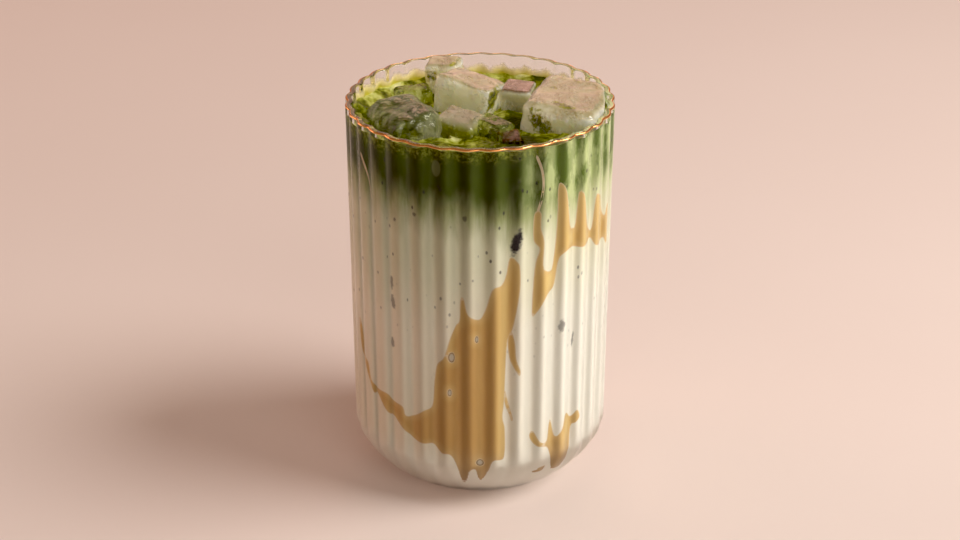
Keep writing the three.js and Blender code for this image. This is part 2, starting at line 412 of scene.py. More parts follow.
# Gold lip
# A line of liquid gold, brushed on the lip and fired. It covers the outer half of the lip and runs a
# little way down the outside, with an edge that wavers.
GOLD_THICKNESS = 0.05
GOLD_DROP = 0.02
GOLD_TOP_TURN = 66  # where on the lip it ends, of 180
GOLD_WAVER = 0.22
GOLD_TURN_WAVER = 60  # degrees of turn on the lip for a millimetre of waver
GOLD_SIDE_SHARE = 0.3  # of its rows, those below the lip
GOLD_BITE = 0.02  # how far its underside lies in the glass


def gold_row(share, lift):
    """A row of the gold from its lower edge outside (share 0) to its edge on top (share 1)."""

    def row(angle):
        waver = GOLD_WAVER * noise.noise(Vector((3 * math.sin(angle), 3 * math.cos(angle), 2.0)))
        if share < GOLD_SIDE_SHARE:
            z = GLASS_TOP - LIP_ROUND - (GOLD_DROP + waver) * (1 - share / GOLD_SIDE_SHARE)
            return (outer_radius(angle, z) + lift, z)
        along_top = (share - GOLD_SIDE_SHARE) / (1 - GOLD_SIDE_SHARE)
        turn = along_top * (GOLD_TOP_TURN + GOLD_TURN_WAVER * waver)
        radius, z = lip_row(turn)(angle)
        return (radius + lift * math.cos(math.radians(turn)), z + lift * math.sin(math.radians(turn)))

    return row


gold_shares = evenly(0, 1, 14)
gold_rows = [gold_row(share, GOLD_THICKNESS) for share in gold_shares]
gold_rows += [gold_row(share, -GOLD_BITE) for share in reversed(gold_shares)]
gold_rows.append(gold_rows[0])
fired_gold = Finish("fired gold")
gold_place = fired_gold.place()
gold_tone = fired_gold.mix(fired_gold.cloud(gold_place, 5, 3), (0.95, 0.36, 0.13), (1.0, 0.56, 0.24))
gold_shader = fired_gold.principled(
    Base_Color=gold_tone,
    Metallic=1.0,
    Roughness=fired_gold.cloud(gold_place, 2, 3) * 0.2 + 0.12,
    Normal=fired_gold.bump(fired_gold.cloud(gold_place, 1.2, 2), 0.03),
)
gold_points, gold_faces = turned_skin(gold_rows, RIBS * SAMPLES_PER_RIB)
gold_line = new_piece("gold_line", gold_points, gold_faces, fired_gold.surface(gold_shader))
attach(gold_line, "root")
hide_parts("gold_rim")

# Ice
# Cubes from a tray that have begun to melt: the edges are round and the faces wavy. Some are frosted
# all through and some are clear. They stand in the froth, and those at the wall lean on the glass.
ICE = {  # size, centre, turn about Z and tilts about X and Y, edge rounding and look
    "ice_right": ((25, 28, 19.5), (26.3, 1.4, 111.8), (-22, 2, 4), 4.4, "frosted"),
    "ice_left": ((19, 28, 18), (-22.4, -5.2, 111), (23, -4, -3), 6, "melted"),
    "ice_centre": ((18.5, 14, 18.5), (-3.9, 14.2, 111.9), (-27, -8, 9), 1.5, "frosted"),
    "ice_back": ((11.5, 9, 16), (-10.8, 29.4, 113.4), (-14, 4, -4), 2, "frosted"),
    "ice_middle": ((10, 12, 13), (11.8, 15.4, 111.9), (-12, 0, 0), 1.5, "cloudy"),
    "ice_front": ((11.5, 7, 13), (3.3, -12.4, 111.6), (-40, -4, 5), 1.0, "clear"),
    "ice_front_middle": ((13.5, 12, 13), (-5.8, -6.8, 111), (-28, 6, 6), 1.8, "hazy"),
    "ice_left_back": ((12.5, 9, 11), (-20.8, 20.4, 110.5), (12, 0, 0), 2.2, "clear"),
    "ice_front_right": ((6.6, 9, 10), (8.9, -17.3, 110.9), (6, 0, 0), 1.4, "sunken"),
}
ICE_REACH = 36.9
ICE_CUTS = 22
EDGE_CROWDING = 0.8  # below 1, the grid on a face is finer towards its edges
WAVE = 1.1
WAVE_RATE = 0.09  # per millimetre, as is the dimples' rate
DIMPLE = 0.28
DIMPLE_RATE = 0.33
MELTED_AWAY = 0.35  # how much smaller it is all round than it was frozen
FULL_WAVES_FROM = 16  # a narrower block has smaller waves
TAPER = 0.08  # how much wider it is at the top, as a share
ICE_LOOKS = {  # colours of the upright faces and of the top, the two differing as painted light and shade, how clear it is and how wet
    "frosted": ((0.99, 0.92, 0.72), (0.47, 0.41, 0.23), 0.2, 1.0),
    "cloudy": ((0.64, 0.63, 0.48), (0.19, 0.11, 0.055), 0.35, 1.0),
    "hazy": ((0.36, 0.38, 0.09), (0.40, 0.37, 0.23), 0.35, 0.7),
    "sunken": ((0.07, 0.06, 0.004), (0.085, 0.03, 0.006), 0.35, 0.2),
}
PALE_EDGES = [  # where the melted cube's edge catches the light, each a spot and a radius
    ((-32.5, -2, 117), 5), ((-31.5, -9, 115), 4), ((-26, 1.5, 119), 2.6),
]
STAINS = {  # where matcha has run over the ice, each a spot and a radius
    "ice_right": [
        ((22.4, -6.6, 121.5), 4), ((26, -8.6, 121.3), 4), ((16.8, -7, 117), 5.5), ((19.5, -9, 113.5), 6),
        ((22.1, 5.1, 121.8), 2.6), ((28.9, 10.5, 121), 2.4), ((15.2, -6.5, 119), 2),
    ],
    "ice_centre": [
        ((0, 10.9, 121.5), 2.6), ((-3, 15, 122), 2.6), ((-1.2, 2.7, 115), 3.4), ((3.6, 6.3, 117.5), 4.5),
        ((4.8, 10, 118), 4.5), ((2.1, 7.8, 114), 5),
    ],
    "ice_back": [((-8.6, 26.2, 121), 2.6), ((-15, 26, 117), 4), ((-6, 25, 118), 4)],
    "ice_front_middle": [((-8.5, -8, 113), 5), ((-4, -11.5, 113), 4.5), ((0.5, -4, 116.5), 4)],
    "ice_left": [((-28.3, -9.5, 117), 3.4), ((-19.6, -18, 117), 4.5)],
}


def ice_placement(name):
    _, at, turn, _, _ = ICE[name]
    turn_z, tilt_x, tilt_y = (math.radians(a) for a in turn)
    turned = Matrix.Rotation(turn_z, 4, "Z") @ Matrix.Rotation(tilt_x, 4, "X")
    turned = turned @ Matrix.Rotation(tilt_y, 4, "Y")
    return Matrix.Translation(at) @ turned


def stained(finish, here, tone, stains):
    """A tone of ice with matcha run over it, in ragged patches."""
    ragged = finish.cloud(here, 1.6, 4, 0.65)
    stain = finish.between(finish.spots(here, stains) + (ragged - 0.5) * 2.2, 0.4, 0.95)
    run_over = finish.mix(finish.between(ragged, 0.35, 0.65), (0.035, 0.045, 0.002), (0.34, 0.34, 0.03))
    return finish.mix(stain, tone, run_over)


def milky_ice(finish, here, look, stains):
    """Ice that is white with air inside, or brown or green where it lies deep in the froth. Its upright faces
    and its top are painted in different tones: painted light and shade.
    """
    upright, top, clearness, wetness = ICE_LOOKS[look]
    haze = finish.cloud(here, 6, 4, 0.6)
    facing = finish.node("ShaderNodeTexCoord", output="Normal")
    upward = finish.parts(facing)[2] + (haze - 0.5) * 0.9
    # The tone goes from the upright faces' to the top's by which way a face points: painted light and shade.
    tone = finish.mix(finish.between(upward, 0.25, 0.95), upright, top)
    pits = finish.node("ShaderNodeTexVoronoi", None, {"Vector": here, "Scale": 0.45})
    pitted = finish.between(pits, 0.05, 0.3) * 0.7 * finish.between(haze, 0.45, 0.6)
    return finish.principled(
        Base_Color=stained(finish, here, tone, stains),
        Roughness=finish.cloud(here, 3, 3) * 0.25 + 0.1,
        IOR=1.31,
        Transmission_Weight=clearness,
        Subsurface_Weight=1.0,
        Subsurface_Radius=(1.0, 0.9, 0.7),
        Subsurface_Scale=8 * MM,
        Coat_Weight=wetness,
        Coat_Roughness=0.03,
        Normal=finish.bump(finish.cloud(here, 6, 3, 0.5) * 1.9 + pitted, 1),
    )


def clear_ice(finish, here, look, stains):
    """Clear ice. The melted kind has green veins, and pale edges that are a painted highlight where the edge
    catches the light.
    """
    clearness = 1.0
    tone = finish.mix(finish.cloud(here, 6, 4, 0.6), (0.90, 0.91, 0.82), (0.97, 0.97, 0.93))
    if look == "melted":
        clearness = 0.86
        veins = finish.between(finish.cloud(here, 5, 3, 0.6, 1.2), 0.38, 0.6)
        veined = finish.mix(veins, (0.22, 0.25, 0.04), (0.84, 0.84, 0.58))
        # The pale edges are a painted highlight.
        pale = finish.spots(here, PALE_EDGES) + (finish.cloud(here, 1.6, 4, 0.65) - 0.5)
        tone = finish.mix(finish.between(pale, 0.3, 0.7), veined, (1.0, 0.97, 0.88))
    dents = finish.cloud(here, 2.4, 3, 0.55) * 0.8
    return finish.principled(
        Base_Color=stained(finish, here, tone, stains),
        Roughness=finish.cloud(here, 4, 3) * 0.08,
        IOR=1.31,
        Transmission_Weight=clearness,
        Normal=finish.bump(dents + finish.cloud(here, 7, 2) * 2.6, 1),
    )


def ice_material(look, stains):
    finish = Finish(look + " ice")
    make = milky_ice if look in ICE_LOOKS else clear_ice
    shader = make(finish, finish.place(), look, stains)
    return finish.clear_surface(shader, (0.8, 0.8, 0.74))


def rounded_block(size, rounding, seed):
    """Points and faces of a block with melted edges, centred on its own origin."""
    half = Vector(size) / 2
    grid = bmesh.new()
    bmesh.ops.create_cube(grid, size=2)
    bmesh.ops.subdivide_edges(grid, edges=grid.edges, cuts=ICE_CUTS, use_grid_fill=True)
    core = half - Vector((rounding,) * 3)
    points = []
    for vertex in grid.verts:
        spread = [math.copysign(abs(c) ** EDGE_CROWDING, c) for c in vertex.co]
        point = Vector([c * h for c, h in zip(spread, half)])
        inside = Vector([max(-c, min(c, p)) for c, p in zip(core, point)])
        away = (point - inside).normalized()
        if away.length == 0:
            away = Vector(vertex.co).normalized()
        melted = inside + away * rounding
        wave = noise.noise(melted * WAVE_RATE + Vector((seed, 0, 0))) * WAVE
        dimple = noise.noise(melted * DIMPLE_RATE + Vector((0, seed, 0))) * DIMPLE
        melted += away * (wave + dimple - MELTED_AWAY) * min(size[0] / FULL_WAVES_FROM, 1)
        narrow = 1 - TAPER / 2 + TAPER * melted.z / size[2]
        points.append(Vector((melted.x * narrow, melted.y * narrow, melted.z)))
    faces = [tuple(v.index for v in face.verts) for face in grid.faces]
    grid.free()
    return points, faces


def held_in_glass(point):
    reach = math.hypot(point.x, point.y)
    if reach > ICE_REACH:
        return Vector((point.x * ICE_REACH / reach, point.y * ICE_REACH / reach, point.z))
    return point


for number, (node_name, (size, _, _, rounding, look)) in enumerate(ICE.items()):
    points, faces = rounded_block(size, rounding, 7.3 * number + 1)
    place = ice_placement(node_name)
    points = [held_in_glass(place @ p) for p in points]
    block = new_piece(node_name + "_melting", points, faces, ice_material(look, STAINS.get(node_name, [])))
    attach(block, "root")
    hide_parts(node_name)

# Milk and matcha
# Cold milk with whisked matcha poured over it. They meet in soft streaks, fine grains of matcha hang
# in the milk, and the froth on top climbs a little at the glass and at the ice. The drink reaches a
# hair into the wall, so that it lies against the glass all round.
WETTING = 0.1
LAYER_HEIGHT = 99.9
LAYER_TILT = 2.2
LAYER_TILT_ANGLE = math.radians(-50)
LAYER_RADIUS = 38  # of the drink, where milk and matcha meet
MATCHA_MIDDLE = 110
FROTH_HEIGHT = 115.6
FROTH_SLOPE = -0.065
FROTH_LUMP = 0.5
LUMP_RATES = (0.42, 0.37)  # radians per millimetre, along X and along Y
FROTH_DISH = 4
DISH_RADIUS = 37.5
DISH_POWER = 5
FROTH_RINGS = 110
FROTH_WAVE = 0.45
FROTH_WAVE_RATE = 0.22
FROTH_GRAIN = 0.16
FROTH_GRAIN_RATE = 1.1
GLASS_CLIMB = 0.7
GLASS_CLIMB_REACH = 1.3
ICE_CLIMB = 0.8
ICE_CLIMB_REACH = 1.1
SINK_REACH = 1.2  # how far inside the ice the froth has gone down, out of sight
SINK_COVER = 1.5  # how far it stays above the underside of the ice
SINK_WALL_GAP = 0.2  # it stays up this close to where the ice meets the glass
SINK_WALL_REACH = 0.5
ICE_UNDOING = {name: ice_placement(name).inverted() for name in ICE}


def layer_height(angle):
    return LAYER_HEIGHT + LAYER_TILT * math.cos(angle - LAYER_TILT_ANGLE)


def froth_base(x, y):
    dish = FROTH_DISH * (1 - (min(math.hypot(x, y), DISH_RADIUS) / DISH_RADIUS) ** DISH_POWER)
    lump = FROTH_LUMP * math.sin(LUMP_RATES[0] * x + 1) * math.cos(LUMP_RATES[1] * y)
    return FROTH_HEIGHT + FROTH_SLOPE * y + lump - dish


def drink_row(z, share=1.0):
    return lambda angle: ((inner_radius(angle, z) + WETTING) * share, z)


def ice_depth(x, y):
    """How far a point of the froth lies inside the nearest ice block, and the height of its underside."""
    deepest, underside = -99.0, 0.0
    for name in ICE:
        size = ICE[name][0]
        local = ICE_UNDOING[name] @ Vector((x, y, froth_base(x, y)))
        dx = size[0] / 2 - abs(local.x)
        dy = size[1] / 2 - abs(local.y)
        inside = min(dx, dy) if min(dx, dy) > 0 else -math.hypot(min(dx, 0), min(dy, 0))
        if inside > deepest:
            deepest = inside
            underside = ICE[name][1][2] - size[2] / 2
    return deepest, underside


def froth_row(share):
    def row(angle):
        rim = inner_radius(angle, FROTH_HEIGHT) + WETTING
        radius = share * rim
        x, y, _ = on_wheel(radius, angle, 0)
        z = froth_base(x, y)
        spot = Vector((x, y, 0))
        z += FROTH_WAVE * noise.fractal(spot * FROTH_WAVE_RATE, 1.0, 2.0, 3)
        z += FROTH_GRAIN * noise.noise(spot * FROTH_GRAIN_RATE)
        z += GLASS_CLIMB * math.exp(-(rim - radius) / GLASS_CLIMB_REACH)
        inside, underside = ice_depth(x, y)
        if inside < 0:
            return (radius, z + ICE_CLIMB * math.exp(inside / ICE_CLIMB_REACH))
        to_wall = (ICE_REACH - SINK_WALL_GAP - radius) / SINK_WALL_REACH
        sink = min(inside / SINK_REACH, 1) * min(max(to_wall, 0), 1)
        return (radius, z + ICE_CLIMB - sink * (z + ICE_CLIMB - underside - SINK_COVER))

    return row


LIT_FROTH_SPOTS = [  # spots where the froth is painted paler, a painted light: x, y and radius, as in the next list
    (-33, 14, 7), (-28, 25, 7), (-20, 26, 5), (8, 27, 5), (5, 20.5, 4), (2.5, 12.5, 4.5), (-9.5, 2, 5),
    (33, -11, 6), (3, 34, 7), (13, 34, 6), (-7, -15, 6), (-3, -28, 4),
]
# Spots where the froth is painted darker, among and beside the ice blocks where their shade falls: painted
# shade.
SHADED_FROTH_SPOTS = [
    (8, 3, 6), (12, -3, 5), (6, -6, 5), (14, 3, 4), (9, 1.5, 6), (9, 1.5, 8), (12.8, -14.3, 6),
    (14.6, -13, 4), (-32, -8, 7), (-27, -18, 6), (16, 30, 5), (-6.5, -6, 4), (8, -22, 8), (14, -19, 6),
    (9, -4, 7),
]
CLUMPS = [  # angle, height, half width, half height, lean and how dark
    (15.8, 90.2, 1.6, 4.6, 0.2, 1.0), (-41, 67.2, 1.0, 2.4, -0.1, 0.6), (-41.6, 73.4, 0.7, 2.6, 0, 0.6),
    (38.5, 59.7, 1.4, 2.2, 0, 0.6), (46, 53.5, 0.5, 3, 0.1, 0.6), (-42, 53, 0.9, 2, 0, 0.6),
    (-28.7, 97.8, 0.7, 0.8, 0, 0.6), (-39, 94.4, 0.6, 0.8, 0, 0.6), (-6.4, 98.4, 0.7, 1, 0, 0.6),
]
SWIRL_BUBBLES = [  # angle, height, width and height of the bubbles caught at the glass
    (-12.8, 52.9, 2.0, 3.4), (-13.8, 40.9, 1.1, 2.4), (0, 17.1, 2.7, 2.3), (-1.7, 59.4, 1.0, 2.2),
]
FROTH_BUBBLE_ANGLE = math.radians(-18.4)
FROTH_BUBBLE_HEIGHT = 113.2
FROTH_BUBBLE_SQUEEZE = 0.5  # below 1, it is taller than wide
FROTH_BUBBLE_RADIUS = 2.1
RIB_RELIEF = 1.7  # how much deeper the ribs look than the thin glass shows
MM_PER_DEGREE = LAYER_RADIUS * math.pi / 180
RIB_SHIFT = 1.1  # the light comes through the ribs from the right
# How far to the right the painted rib highlights in the matcha's and the syrup's colour are moved.
LIT_SHIFT = 2.4


def rib_wave(finish, x, y, shift=RIB_SHIFT):
    """A wave from 0 to 1 and back over each rib, with its top moved to the right by the shift."""
    return 0.5 - (x.maths("ARCTAN2", y * -1) * RIBS - shift).maths("COSINE") * 0.5


def drink_material():
    """Milk below and matcha above, by height over the line where they meet, and froth on top."""
    finish = Finish("milk and matcha")
    here = finish.place()
    x, y, z = finish.parts(here)
    upward = finish.parts(finish.node("ShaderNodeTexCoord", output="Normal"))[2]
    at_wall = finish.between((x * x + y * y).maths("SQRT"), 37.0, 37.4) * finish.between(upward, 0.6, 0.4)
    side = at_wall.largest(finish.between(z, 101, 99))
    angle = x.maths("ARCTAN2", y * -1) * (180 / math.pi)
    tilt_x = math.sin(LAYER_TILT_ANGLE) / LAYER_RADIUS
    tilt_y = math.cos(LAYER_TILT_ANGLE) / LAYER_RADIUS
    lean = x * tilt_x - y * tilt_y
    above = z - LAYER_HEIGHT - lean * LAYER_TILT
    tall = finish.stretched(here, (1, 1, 0.16))
    streak = finish.cloud(tall, 2.6, 4, 0.6, 0.3)
    wisp = finish.cloud(tall, 8, 3, 0.55, 0.5)
    patch = finish.between(finish.cloud(finish.stretched(here, (1, 1, 0.4)), 3.6, 4, 0.6), 0.4, 0.62)

    body = finish.cloud(finish.stretched(here, (1, 1, 0.3)), 14, 3)
    # The milk is painted warmer and darker on the left and paler on the right: painted shade and light, as
    # the light comes from the right.
    rightward = finish.between(angle, -30, 50)
    low_shaded_left = finish.mix(body, (0.85, 0.78, 0.62), (0.90, 0.83, 0.69))
    low_lit_right = finish.mix(body, (0.84, 0.80, 0.70), (0.88, 0.85, 0.76))
    low_cream = finish.mix(rightward, low_shaded_left, low_lit_right)
    high_shaded_left = finish.mix(body, (0.66, 0.64, 0.45), (0.76, 0.73, 0.55))
    high_lit_right = finish.mix(body, (0.78, 0.76, 0.56), (0.86, 0.83, 0.66))
    high_cream = finish.mix(rightward, high_shaded_left, high_lit_right)
    # Near the foot the milk is painted paler: painted light, standing in for the light the glass foot
    # gathers.
    foot_lit_cream = finish.mix(finish.between(z, 22, 10), low_cream, (0.99, 0.94, 0.83))
    milk = finish.mix(finish.between(z + wisp * 20, 66, 100), foot_lit_cream, high_cream)

    # From here on, the matcha and the zone where it mixes with the milk are painted darker on the left and
    # paler on the right. Each rib is painted with a lit half and a shaded half. This is painted light and
    # shade, as the light comes from the right.
    right = finish.between(angle + wisp * 24, 21, 50)
    lit_half = rib_wave(finish, x, y, LIT_SHIFT)
    lit = lit_half * 0.75 + (patch - 0.5) * 0.7 + 0.12
    shaded_left_matcha = finish.mix(streak * 0.6 + lit_half * 0.4, (0.013, 0.022, 0.001), (0.088, 0.125, 0.012))
    lit_right_matcha = finish.mix(lit, (0.12, 0.18, 0.028), (0.60, 0.66, 0.31))
    matcha = finish.mix(right, shaded_left_matcha, lit_right_matcha)
    reach_down = finish.near(finish.stretched(here, (1, 1, 0)), (13, -36, 0), 26) * 2.2
    reach_up = finish.between(angle, -40, -60) * 1.8 + finish.between(angle, 50, 68) * 3
    mixing = above + (streak - 0.5) * 12 + (wisp - 0.5) * 14 + reach_down - reach_up
    greenish = finish.mix(right, (0.34, 0.36, 0.16), (0.62, 0.65, 0.36))
    clouded = finish.mix(finish.between(mixing, -12, 1), milk, greenish)
    body_colour = finish.mix(finish.between(mixing, -4, 7), clouded, matcha)

    froth_line = z + y * (-FROTH_SLOPE) - FROTH_HEIGHT
    crumbly = finish.cloud(here, 1.1, 3, 0.65)
    foam = finish.between(froth_line + (crumbly - 0.5) * 7, -3.6, 0.8)
    flat = finish.stretched(here, (1, 1, 0))
    # The froth is painted paler and darker at the listed spots: painted light and shade.
    froth_light_and_shade = 0
    for px, py, radius in LIT_FROTH_SPOTS:
        froth_light_and_shade = finish.near(flat, (px, py, 0), radius) + froth_light_and_shade
    for px, py, radius in SHADED_FROTH_SPOTS:
        froth_light_and_shade = froth_light_and_shade - finish.near(flat, (px, py, 0), radius)
    foam_tone = finish.cloud(here, 4.5, 5, 0.62, 0.6) * 1.5 + froth_light_and_shade * 0.26 - 0.3
    foam_stops = [
        (0.15, (0.026, 0.030, 0.002)),
        (0.38, (0.085, 0.095, 0.005)),
        (0.56, (0.29, 0.30, 0.035)),
        (0.74, (0.52, 0.53, 0.15)),
        (0.95, (0.70, 0.68, 0.38)),
    ]
    froth = finish.node("ShaderNodeValToRGB", {"stops": foam_stops}, {"Fac": foam_tone})
    strip = finish.mix(finish.between(crumbly, 0.35, 0.7), (0.06, 0.075, 0.003), (0.34, 0.36, 0.05))
    against_glass = finish.mix(foam * 0.8, body_colour, finish.mix(right, strip, lit_right_matcha))
    with_froth = finish.mix(side, froth, against_glass)

    upright = finish.stretched(here, (1, 1, 0.6))
    grains = finish.node("ShaderNodeTexVoronoi", None, {"Vector": upright, "Scale": 0.36})
    few = finish.between(finish.cloud(here, 5, 2), 0.36, 0.56)
    dot = (1 - finish.between(grains, 0.07, 0.18)) * few * finish.between(z, 36, 88) * 0.8
    ragged = finish.cloud(here, 1.3, 3, 0.6)
    for turn, up, wide, tall, lean_over, darkness in CLUMPS:
        rise = z - up
        across = (angle - turn) * MM_PER_DEGREE - rise * lean_over
        away = (across * across / wide**2 + rise * rise / tall**2).maths("SQRT")
        clump = finish.between(away + (ragged - 0.5) * 1.4, 1.1, 0.5)
        dot = dot.largest(clump * darkness)
    speckled = finish.mix(dot * side, with_froth, (0.035, 0.032, 0.04))
    # Each bubble caught in the syrup is painted with a dark rim and a greyer inside: painted shade in the
    # hollow.
    for turn, up, wide, tall in SWIRL_BUBBLES:
        rise = z - up
        across = (angle - turn) * MM_PER_DEGREE
        away = (across * across * (4 / wide**2) + rise * rise * (4 / tall**2)).maths("SQRT")
        bubble_shade = finish.mix(finish.between(away, 0.45, 1.05), (0.56, 0.50, 0.40), (0.26, 0.15, 0.05))
        speckled = finish.mix(finish.between(away, 1.5, 1.1) * side, speckled, bubble_shade)
    bubble_x, bubble_y, bubble_z = on_wheel(
        inner_radius(FROTH_BUBBLE_ANGLE, FROTH_BUBBLE_HEIGHT), FROTH_BUBBLE_ANGLE, FROTH_BUBBLE_HEIGHT
    )
    squeezed = finish.stretched(here, (1, 1, FROTH_BUBBLE_SQUEEZE))
    bubble_spot = (bubble_x, bubble_y, bubble_z * FROTH_BUBBLE_SQUEEZE)
    bubble = finish.near(squeezed, bubble_spot, FROTH_BUBBLE_RADIUS)
    tone = finish.mix(finish.between(bubble, 0.2, 0.5) * 0.8, speckled, (0.17, 0.18, 0.07))
    lather = finish.cloud(here, 0.9, 3, 0.6) * 0.3 + finish.cloud(here, 3, 3, 0.6) * 1.0
    relief = rib_wave(finish, x, y) * side * finish.between(z, 6, 22) * RIB_RELIEF + lather * (1 - side)
    shader = finish.principled(
        Base_Color=tone,
        Roughness=0.45,
        IOR=1.35,
        Specular_IOR_Level=0.1,
        Coat_Weight=(1 - side) * 0.35,
        Coat_Roughness=0.12,
        Normal=finish.bump(relief, 1),
    )
    return finish.surface(shader)


def layer_disc(share):
    return lambda angle: (share * (inner_radius(angle, LAYER_HEIGHT) + WETTING), layer_height(angle))


def milk_row(z):
    """A row at the wall, a hair lower over the rounding of the floor."""
    return lambda angle: (inner_radius(angle, z) + WETTING, z - WETTING * (1 - rib_fade(z, FLOOR)))


def matcha_row(up):
    def row(angle):
        froth_height = froth_row(1)(angle)[1]
        return (
            inner_radius(angle, MATCHA_MIDDLE) + WETTING,
            layer_height(angle) * (1 - up) + froth_height * up,
        )

    return row


drink = drink_material()
columns = RIBS * SAMPLES_PER_RIB
milk_heights = inner_rounding + evenly(inner_rounding[-1], LAYER_HEIGHT - 6, 30)[1:]
milk_rows = [drink_row(FLOOR - WETTING, share) for share in (0.3, 0.7)]
milk_rows += [milk_row(z) for z in milk_heights]
milk_rows += [layer_disc(share) for share in (1, 0.6, 0.2)]
milk_points, milk_faces = turned_skin(milk_rows, columns, FLOOR - WETTING, LAYER_HEIGHT)
milk = new_piece("cold_milk", milk_points, milk_faces, drink)
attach(milk, "root")
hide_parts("milk")

matcha_rows = [layer_disc(share) for share in (0.2, 0.6, 1)]
matcha_rows += [matcha_row(up) for up in evenly(0, 1, 10)[1:-1]]
matcha_rows += [froth_row(1 - k / FROTH_RINGS) for k in range(FROTH_RINGS)]
matcha_points, matcha_faces = turned_skin(matcha_rows, columns, LAYER_HEIGHT, froth_row(0)(0)[1])
matcha = new_piece("whisked_matcha", matcha_points, matcha_faces, drink)
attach(matcha, "root")
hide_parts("matcha")

# Matcha film
# A thin film of froth that washed up the inside of the wall behind the ice and ran back down. It is
# thickest at the froth and thins out to nothing in scallops between the ribs.
FILM_FROM = 92
FILM_TO = 268
FILM_LOW = 112.4
FILM_HIGH = 119
FILM_THICKNESS = 0.12
FILM_BITE = 0.02
FILM_COLUMNS = 200
FILM_ROWS = 8


def closed_sheet(faces, count):
    """The faces of both sides and the edge of a sheet, from those of the side with the first points."""
    edges = [(a, b) for face in faces for a, b in zip(face, face[1:] + face[:1])]
    known = set(edges)
    back = [tuple(i + count for i in reversed(face)) for face in faces]
    return faces + back + [(b, a, a + count, b + count) for a, b in edges if (b, a) not in known]


film_angles = [math.radians(angle) for angle in evenly(FILM_FROM, FILM_TO, FILM_COLUMNS)]
film_points = []
for inset in (-FILM_BITE, FILM_THICKNESS):
    for z in evenly(FILM_LOW, FILM_HIGH, FILM_ROWS):
        film_points += [on_wheel(inner_radius(angle, z) - inset, angle, z) for angle in film_angles]
film_faces = []
film_width = len(film_angles)
for k in range(FILM_ROWS):
    for i in range(FILM_COLUMNS):
        corner = k * film_width + i
        film_faces.append((corner, corner + 1, corner + film_width + 1, corner + film_width))
film_faces = closed_sheet(film_faces, len(film_points) // 2)
film = Finish("matcha film")
film_place = film.place()
film_x, film_y, film_z = film.parts(film_place)
film_rise = film_z - film_y * FROTH_SLOPE - FROTH_HEIGHT
film_cloud = film.cloud(film_place, 2.4, 4, 0.6)
film_reach = film_rise - rib_wave(film, film_x, film_y, 0) * 0.9 - (film_cloud - 0.5) * 3
film_tone = film.mix(film.between(film_reach, -0.5, 2), (0.62, 0.58, 0.08), (0.97, 0.88, 0.55))
film_shader = film.principled(
    Base_Color=film_tone,
    Roughness=0.4,
    IOR=1.33,
    Transmission_Weight=0.55,
    Alpha=film.between(film_reach, 3.4, 1.2) * film.between(film_y, 1, 12),
)
film_material = film.clear_surface(film_shader, (0.9, 0.88, 0.7))
film_sheet = new_piece("matcha_film", film_points, film_faces, film_material)
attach(film_sheet, "root")

# Caramel syrup
# Thick syrup squeezed down the inside of the glass before the milk went in. It clings to the wall in
# sheets with torn edges, and bubbles are caught in it. Outlines are angle and height on the wall.
SYRUP_THICKNESS = 1.6
SYRUP_WETTING = 0.2
SYRUP_BITE = 0.02
SYRUP_EDGE = 0.4  # thickness at its edge
CROWN_REACH = 0.5
OUTLINE_STEP = 0.55
EDGE_CLEARANCE = 0.35  # between the edge and the first points inside it
HOLE_CORNERS = 14
SHEET_RADIUS = inner_crest_radius(60)  # where an angle on the wall is turned into millimetres
SWIRL = [
    (-70, 54), (-64, 43.5), (-60.5, 41), (-58, 35), (-48, 34.6), (-44, 33.3), (-37.5, 32.6),
    (-35.7, 29.5), (-31, 30.6), (-26, 33.3), (-21.7, 35.8), (-20.4, 44), (-19, 50), (-16, 53),
    (-13.4, 59.5), (-10.6, 63.7), (-8.8, 65.5), (-8.3, 72.4), (-6.9, 73), (-5, 67.6), (-0.4, 66),
    (2.4, 69), (5.2, 75.8), (8.9, 77), (11.3, 80), (13.2, 85.6), (16, 84.4), (17.3, 82), (17.3, 74.6),
    (14.9, 63.7), (13, 59.6), (12, 56.3), (10.9, 39.4), (10, 32.6), (11.4, 28), (11, 18.5), (5.9, 17.7),
    (4, 14), (2, 9.8), (-1.5, 10.4), (-2.5, 14.5), (-5, 13.6), (-6.4, 8), (-8.6, 8), (-9.6, 13.8),
    (-13.6, 19), (-17.3, 19.6), (-21, 22), (-26.6, 21.6), (-31, 22.4), (-36, 23.8), (-39.6, 26.4),
    (-42.3, 27.8), (-47, 27.8), (-52.8, 32.4), (-57.6, 31.5), (-60, 35), (-64, 40), (-69, 43),
]
RIBBON = [
    (23.5, 66), (24, 77), (24.8, 83), (26.2, 87.2), (23.8, 90.2), (23.8, 97.6), (25.3, 99.3),
    (26.8, 98.4), (26.9, 93.6), (28.4, 89), (28.1, 81.5), (29.6, 79.6), (31.8, 79.2), (33.2, 80.6),
    (34.7, 88), (35.4, 97.4), (35.3, 103), (35.9, 106.2), (37.4, 106), (39.1, 104.2), (40.2, 101),
    (42, 91.8), (44, 90.6), (45.9, 91.4), (47.4, 101.4), (49.6, 101), (51.2, 98.5), (53.2, 89.8),
    (55.6, 87.5), (57.8, 87.6), (59.9, 96.8), (62.8, 96.9), (65.6, 94.4), (68.3, 89.8), (70.6, 88.2),
    (72.4, 90.4), (74.6, 91.4), (77, 89.6), (77.8, 86.6), (76.2, 84), (77.4, 81), (75.4, 78.6),
    (72.6, 78.2), (69.5, 80.9), (64.9, 79.9), (60.3, 81.2), (56.7, 84.3), (51.4, 82.9), (44.3, 84.4),
    (38.1, 83.4), (36.2, 81.4), (34.3, 73.9), (30.7, 71.8), (25.9, 66.8),
]
